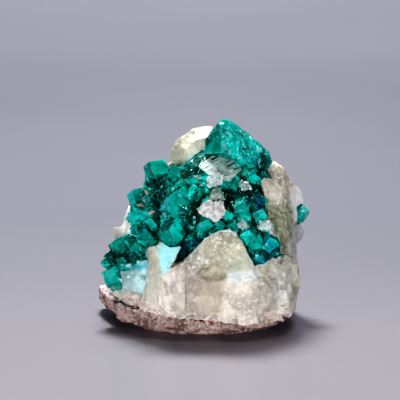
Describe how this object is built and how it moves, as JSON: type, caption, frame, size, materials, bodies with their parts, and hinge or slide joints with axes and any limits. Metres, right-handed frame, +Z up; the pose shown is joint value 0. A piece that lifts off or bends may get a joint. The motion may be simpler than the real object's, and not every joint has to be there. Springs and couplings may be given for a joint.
{
  "type": "dioptase specimen",
  "caption": "Emerald dioptase crystals over a block of pale, milky calcite on a rind of pinkish host rock; stands on its flat base.",
  "frame": {"origin": "centre of the specimen's box at the level that it stands on", "axes": "+Z up from the base, -Y towards the crystal-covered front, +X to the right seen from the front"},
  "size_m": [0.0364, 0.027, 0.0349],
  "materials": {
    "dioptase": "glassy",
    "calcite": "vitreous",
    "white_calcite": "sugary",
    "host_rock": "granular"
  },
  "bodies": {
    "root": {"dioptase_cluster": "dioptase", "dioptase_right": "dioptase", "dioptase_back": "dioptase", "calcite": "calcite", "calcite_crumb_1": "white_calcite", "calcite_crumb_2": "white_calcite", "calcite_crumb_3": "white_calcite", "calcite_crumb_4": "white_calcite", "calcite_crumb_5": "white_calcite", "calcite_crumb_6": "white_calcite", "host_rock": "host_rock"}
  },
  "joints": []
}
